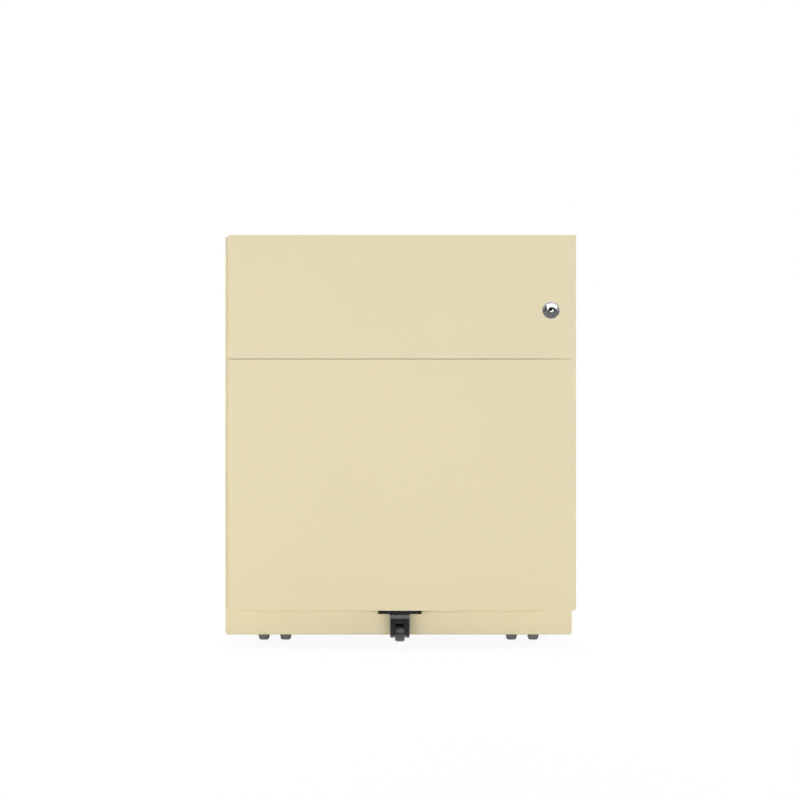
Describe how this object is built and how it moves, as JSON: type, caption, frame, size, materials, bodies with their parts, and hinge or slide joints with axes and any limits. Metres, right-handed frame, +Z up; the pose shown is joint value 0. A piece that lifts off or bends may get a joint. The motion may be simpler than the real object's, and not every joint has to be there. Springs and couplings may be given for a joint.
{
  "type": "microfiche cabinet",
  "caption": "Low steel drawer cabinet on twin-wheel castors: a shallow drawer with rows for microfiche over a deep file drawer, one lock for all drawers and an anti-tilt castor.",
  "frame": {"origin": "on the floor, under the middle of the whole cabinet", "axes": "+Z up, the drawers face -Y, +X to the right seen from the front"},
  "size_m": [0.4226, 0.569, 0.496],
  "materials": {
    "cabinet_paint": "smooth satin powder coat",
    "zinc_steel": "bright zinc plate",
    "chrome_lock": "polished",
    "black_paint": "satin",
    "black_nylon": "moulded",
    "castor_plastic": "moulded",
    "wheel_plastic": "moulded",
    "rubber": "matte",
    "nylon": "moulded"
  },
  "bodies": {
    "case": {"side_panel_left": "cabinet_paint", "side_panel_right": "cabinet_paint", "top_panel": "cabinet_paint", "back_panel": "cabinet_paint", "base_pan": "cabinet_paint", "plinth_rail": "cabinet_paint", "upper_runner_outer_left": "zinc_steel", "upper_runner_outer_right": "zinc_steel", "lower_runner_outer_left": "zinc_steel", "lower_runner_outer_right": "zinc_steel", "runner_screws": "zinc_steel", "castor_plates": "zinc_steel", "castor_screws": "zinc_steel", "lock_bar_guides": "nylon"},
    "upper_slides": {"upper_runner_middle_left": "zinc_steel", "upper_runner_middle_right": "zinc_steel"},
    "lower_slides": {"lower_runner_middle_left": "zinc_steel", "lower_runner_middle_right": "zinc_steel"},
    "upper_drawer": {"upper_drawer_front": "cabinet_paint", "upper_front_liner": "cabinet_paint", "upper_bumpers": "rubber", "upper_tray": "cabinet_paint", "upper_tray_back": "cabinet_paint", "fiche_row_divider": "cabinet_paint", "upper_runner_inner_left": "zinc_steel", "upper_runner_inner_right": "zinc_steel", "lock_housing": "chrome_lock", "lock_nut": "zinc_steel"},
    "lock_plug": {"lock_plug": "chrome_lock", "lock_cam": "zinc_steel", "lock_cam_screw": "zinc_steel"},
    "lock_bar": {"lock_bar": "zinc_steel"},
    "lower_drawer": {"lower_drawer_front": "cabinet_paint", "lower_front_liner": "cabinet_paint", "lower_bumpers": "rubber", "lower_tray": "cabinet_paint", "lower_tray_back": "cabinet_paint", "hanging_file_frame": "cabinet_paint", "lower_runner_inner_left": "zinc_steel", "lower_runner_inner_right": "zinc_steel", "anti_tilt_bracket": "black_paint", "anti_tilt_screws": "zinc_steel", "anti_tilt_axle": "zinc_steel"},
    "anti_tilt_wheel": {"anti_tilt_wheel": "black_nylon"},
    "castor_front_left_swivel": {"castor_front_left_housing": "castor_plastic", "castor_front_left_axle": "zinc_steel"},
    "castor_front_left_wheel_left": {"castor_front_left_wheel_left": "wheel_plastic"},
    "castor_front_left_wheel_right": {"castor_front_left_wheel_right": "wheel_plastic"},
    "castor_front_right_swivel": {"castor_front_right_housing": "castor_plastic", "castor_front_right_axle": "zinc_steel"},
    "castor_front_right_wheel_left": {"castor_front_right_wheel_left": "wheel_plastic"},
    "castor_front_right_wheel_right": {"castor_front_right_wheel_right": "wheel_plastic"},
    "castor_rear_left_swivel": {"castor_rear_left_housing": "castor_plastic", "castor_rear_left_axle": "zinc_steel"},
    "castor_rear_left_wheel_left": {"castor_rear_left_wheel_left": "wheel_plastic"},
    "castor_rear_left_wheel_right": {"castor_rear_left_wheel_right": "wheel_plastic"},
    "castor_rear_right_swivel": {"castor_rear_right_housing": "castor_plastic", "castor_rear_right_axle": "zinc_steel"},
    "castor_rear_right_wheel_left": {"castor_rear_right_wheel_left": "wheel_plastic"},
    "castor_rear_right_wheel_right": {"castor_rear_right_wheel_right": "wheel_plastic"}
  },
  "joints": [
    {"name": "upper_drawer_slide", "type": "slide", "parent": "case", "child": "upper_drawer", "axis": [0, -1, 0], "range_m": [0, 0.45]},
    {"name": "upper_slides_slide", "type": "slide", "parent": "case", "child": "upper_slides", "axis": [0, -1, 0], "range_m": [0, 0.225]},
    {"name": "lower_drawer_slide", "type": "slide", "parent": "case", "child": "lower_drawer", "axis": [0, -1, 0], "range_m": [0, 0.45]},
    {"name": "lower_slides_slide", "type": "slide", "parent": "case", "child": "lower_slides", "axis": [0, -1, 0], "range_m": [0, 0.225]},
    {"name": "lock_turn", "type": "hinge", "parent": "upper_drawer", "child": "lock_plug", "pos_m": [0.18105, -0.2535, 0.4056], "axis": [0, -1, 0], "range_deg": [0, 90]},
    {"name": "lock_bar_lift", "type": "slide", "parent": "case", "child": "lock_bar", "axis": [0, 0, 1], "range_m": [0, 0.008]},
    {"name": "anti_tilt_roll", "type": "hinge", "parent": "lower_drawer", "child": "anti_tilt_wheel", "pos_m": [0.00025, -0.2675, 0.01765], "axis": [1, 0, 0], "continuous": true},
    {"name": "front_left_swivel", "type": "hinge", "parent": "case", "child": "castor_front_left_swivel", "pos_m": [-0.15515, -0.2025, 0.0475], "axis": [0, 0, 1], "continuous": true},
    {"name": "front_left_roll_left", "type": "hinge", "parent": "castor_front_left_swivel", "child": "castor_front_left_wheel_left", "pos_m": [-0.16865, -0.1925, 0.02], "axis": [1, 0, 0], "continuous": true},
    {"name": "front_left_roll_right", "type": "hinge", "parent": "castor_front_left_swivel", "child": "castor_front_left_wheel_right", "pos_m": [-0.14165, -0.1925, 0.02], "axis": [1, 0, 0], "continuous": true},
    {"name": "front_right_swivel", "type": "hinge", "parent": "case", "child": "castor_front_right_swivel", "pos_m": [0.15245, -0.2025, 0.0475], "axis": [0, 0, 1], "continuous": true},
    {"name": "front_right_roll_left", "type": "hinge", "parent": "castor_front_right_swivel", "child": "castor_front_right_wheel_left", "pos_m": [0.13895, -0.1925, 0.02], "axis": [1, 0, 0], "continuous": true},
    {"name": "front_right_roll_right", "type": "hinge", "parent": "castor_front_right_swivel", "child": "castor_front_right_wheel_right", "pos_m": [0.16595, -0.1925, 0.02], "axis": [1, 0, 0], "continuous": true},
    {"name": "rear_left_swivel", "type": "hinge", "parent": "case", "child": "castor_rear_left_swivel", "pos_m": [-0.15515, 0.2315, 0.0475], "axis": [0, 0, 1], "continuous": true},
    {"name": "rear_left_roll_left", "type": "hinge", "parent": "castor_rear_left_swivel", "child": "castor_rear_left_wheel_left", "pos_m": [-0.16865, 0.2415, 0.02], "axis": [1, 0, 0], "continuous": true},
    {"name": "rear_left_roll_right", "type": "hinge", "parent": "castor_rear_left_swivel", "child": "castor_rear_left_wheel_right", "pos_m": [-0.14165, 0.2415, 0.02], "axis": [1, 0, 0], "continuous": true},
    {"name": "rear_right_swivel", "type": "hinge", "parent": "case", "child": "castor_rear_right_swivel", "pos_m": [0.15245, 0.2315, 0.0475], "axis": [0, 0, 1], "continuous": true},
    {"name": "rear_right_roll_left", "type": "hinge", "parent": "castor_rear_right_swivel", "child": "castor_rear_right_wheel_left", "pos_m": [0.13895, 0.2415, 0.02], "axis": [1, 0, 0], "continuous": true},
    {"name": "rear_right_roll_right", "type": "hinge", "parent": "castor_rear_right_swivel", "child": "castor_rear_right_wheel_right", "pos_m": [0.16595, 0.2415, 0.02], "axis": [1, 0, 0], "continuous": true}
  ],
  "couplings": [
    {"joint": "upper_slides_slide", "follows": "upper_drawer_slide", "ratio": 0.5},
    {"joint": "lower_slides_slide", "follows": "lower_drawer_slide", "ratio": 0.5},
    {"joint": "lock_turn", "follows": "lock_bar_lift", "rad_per_m": 196.35}
  ]
}
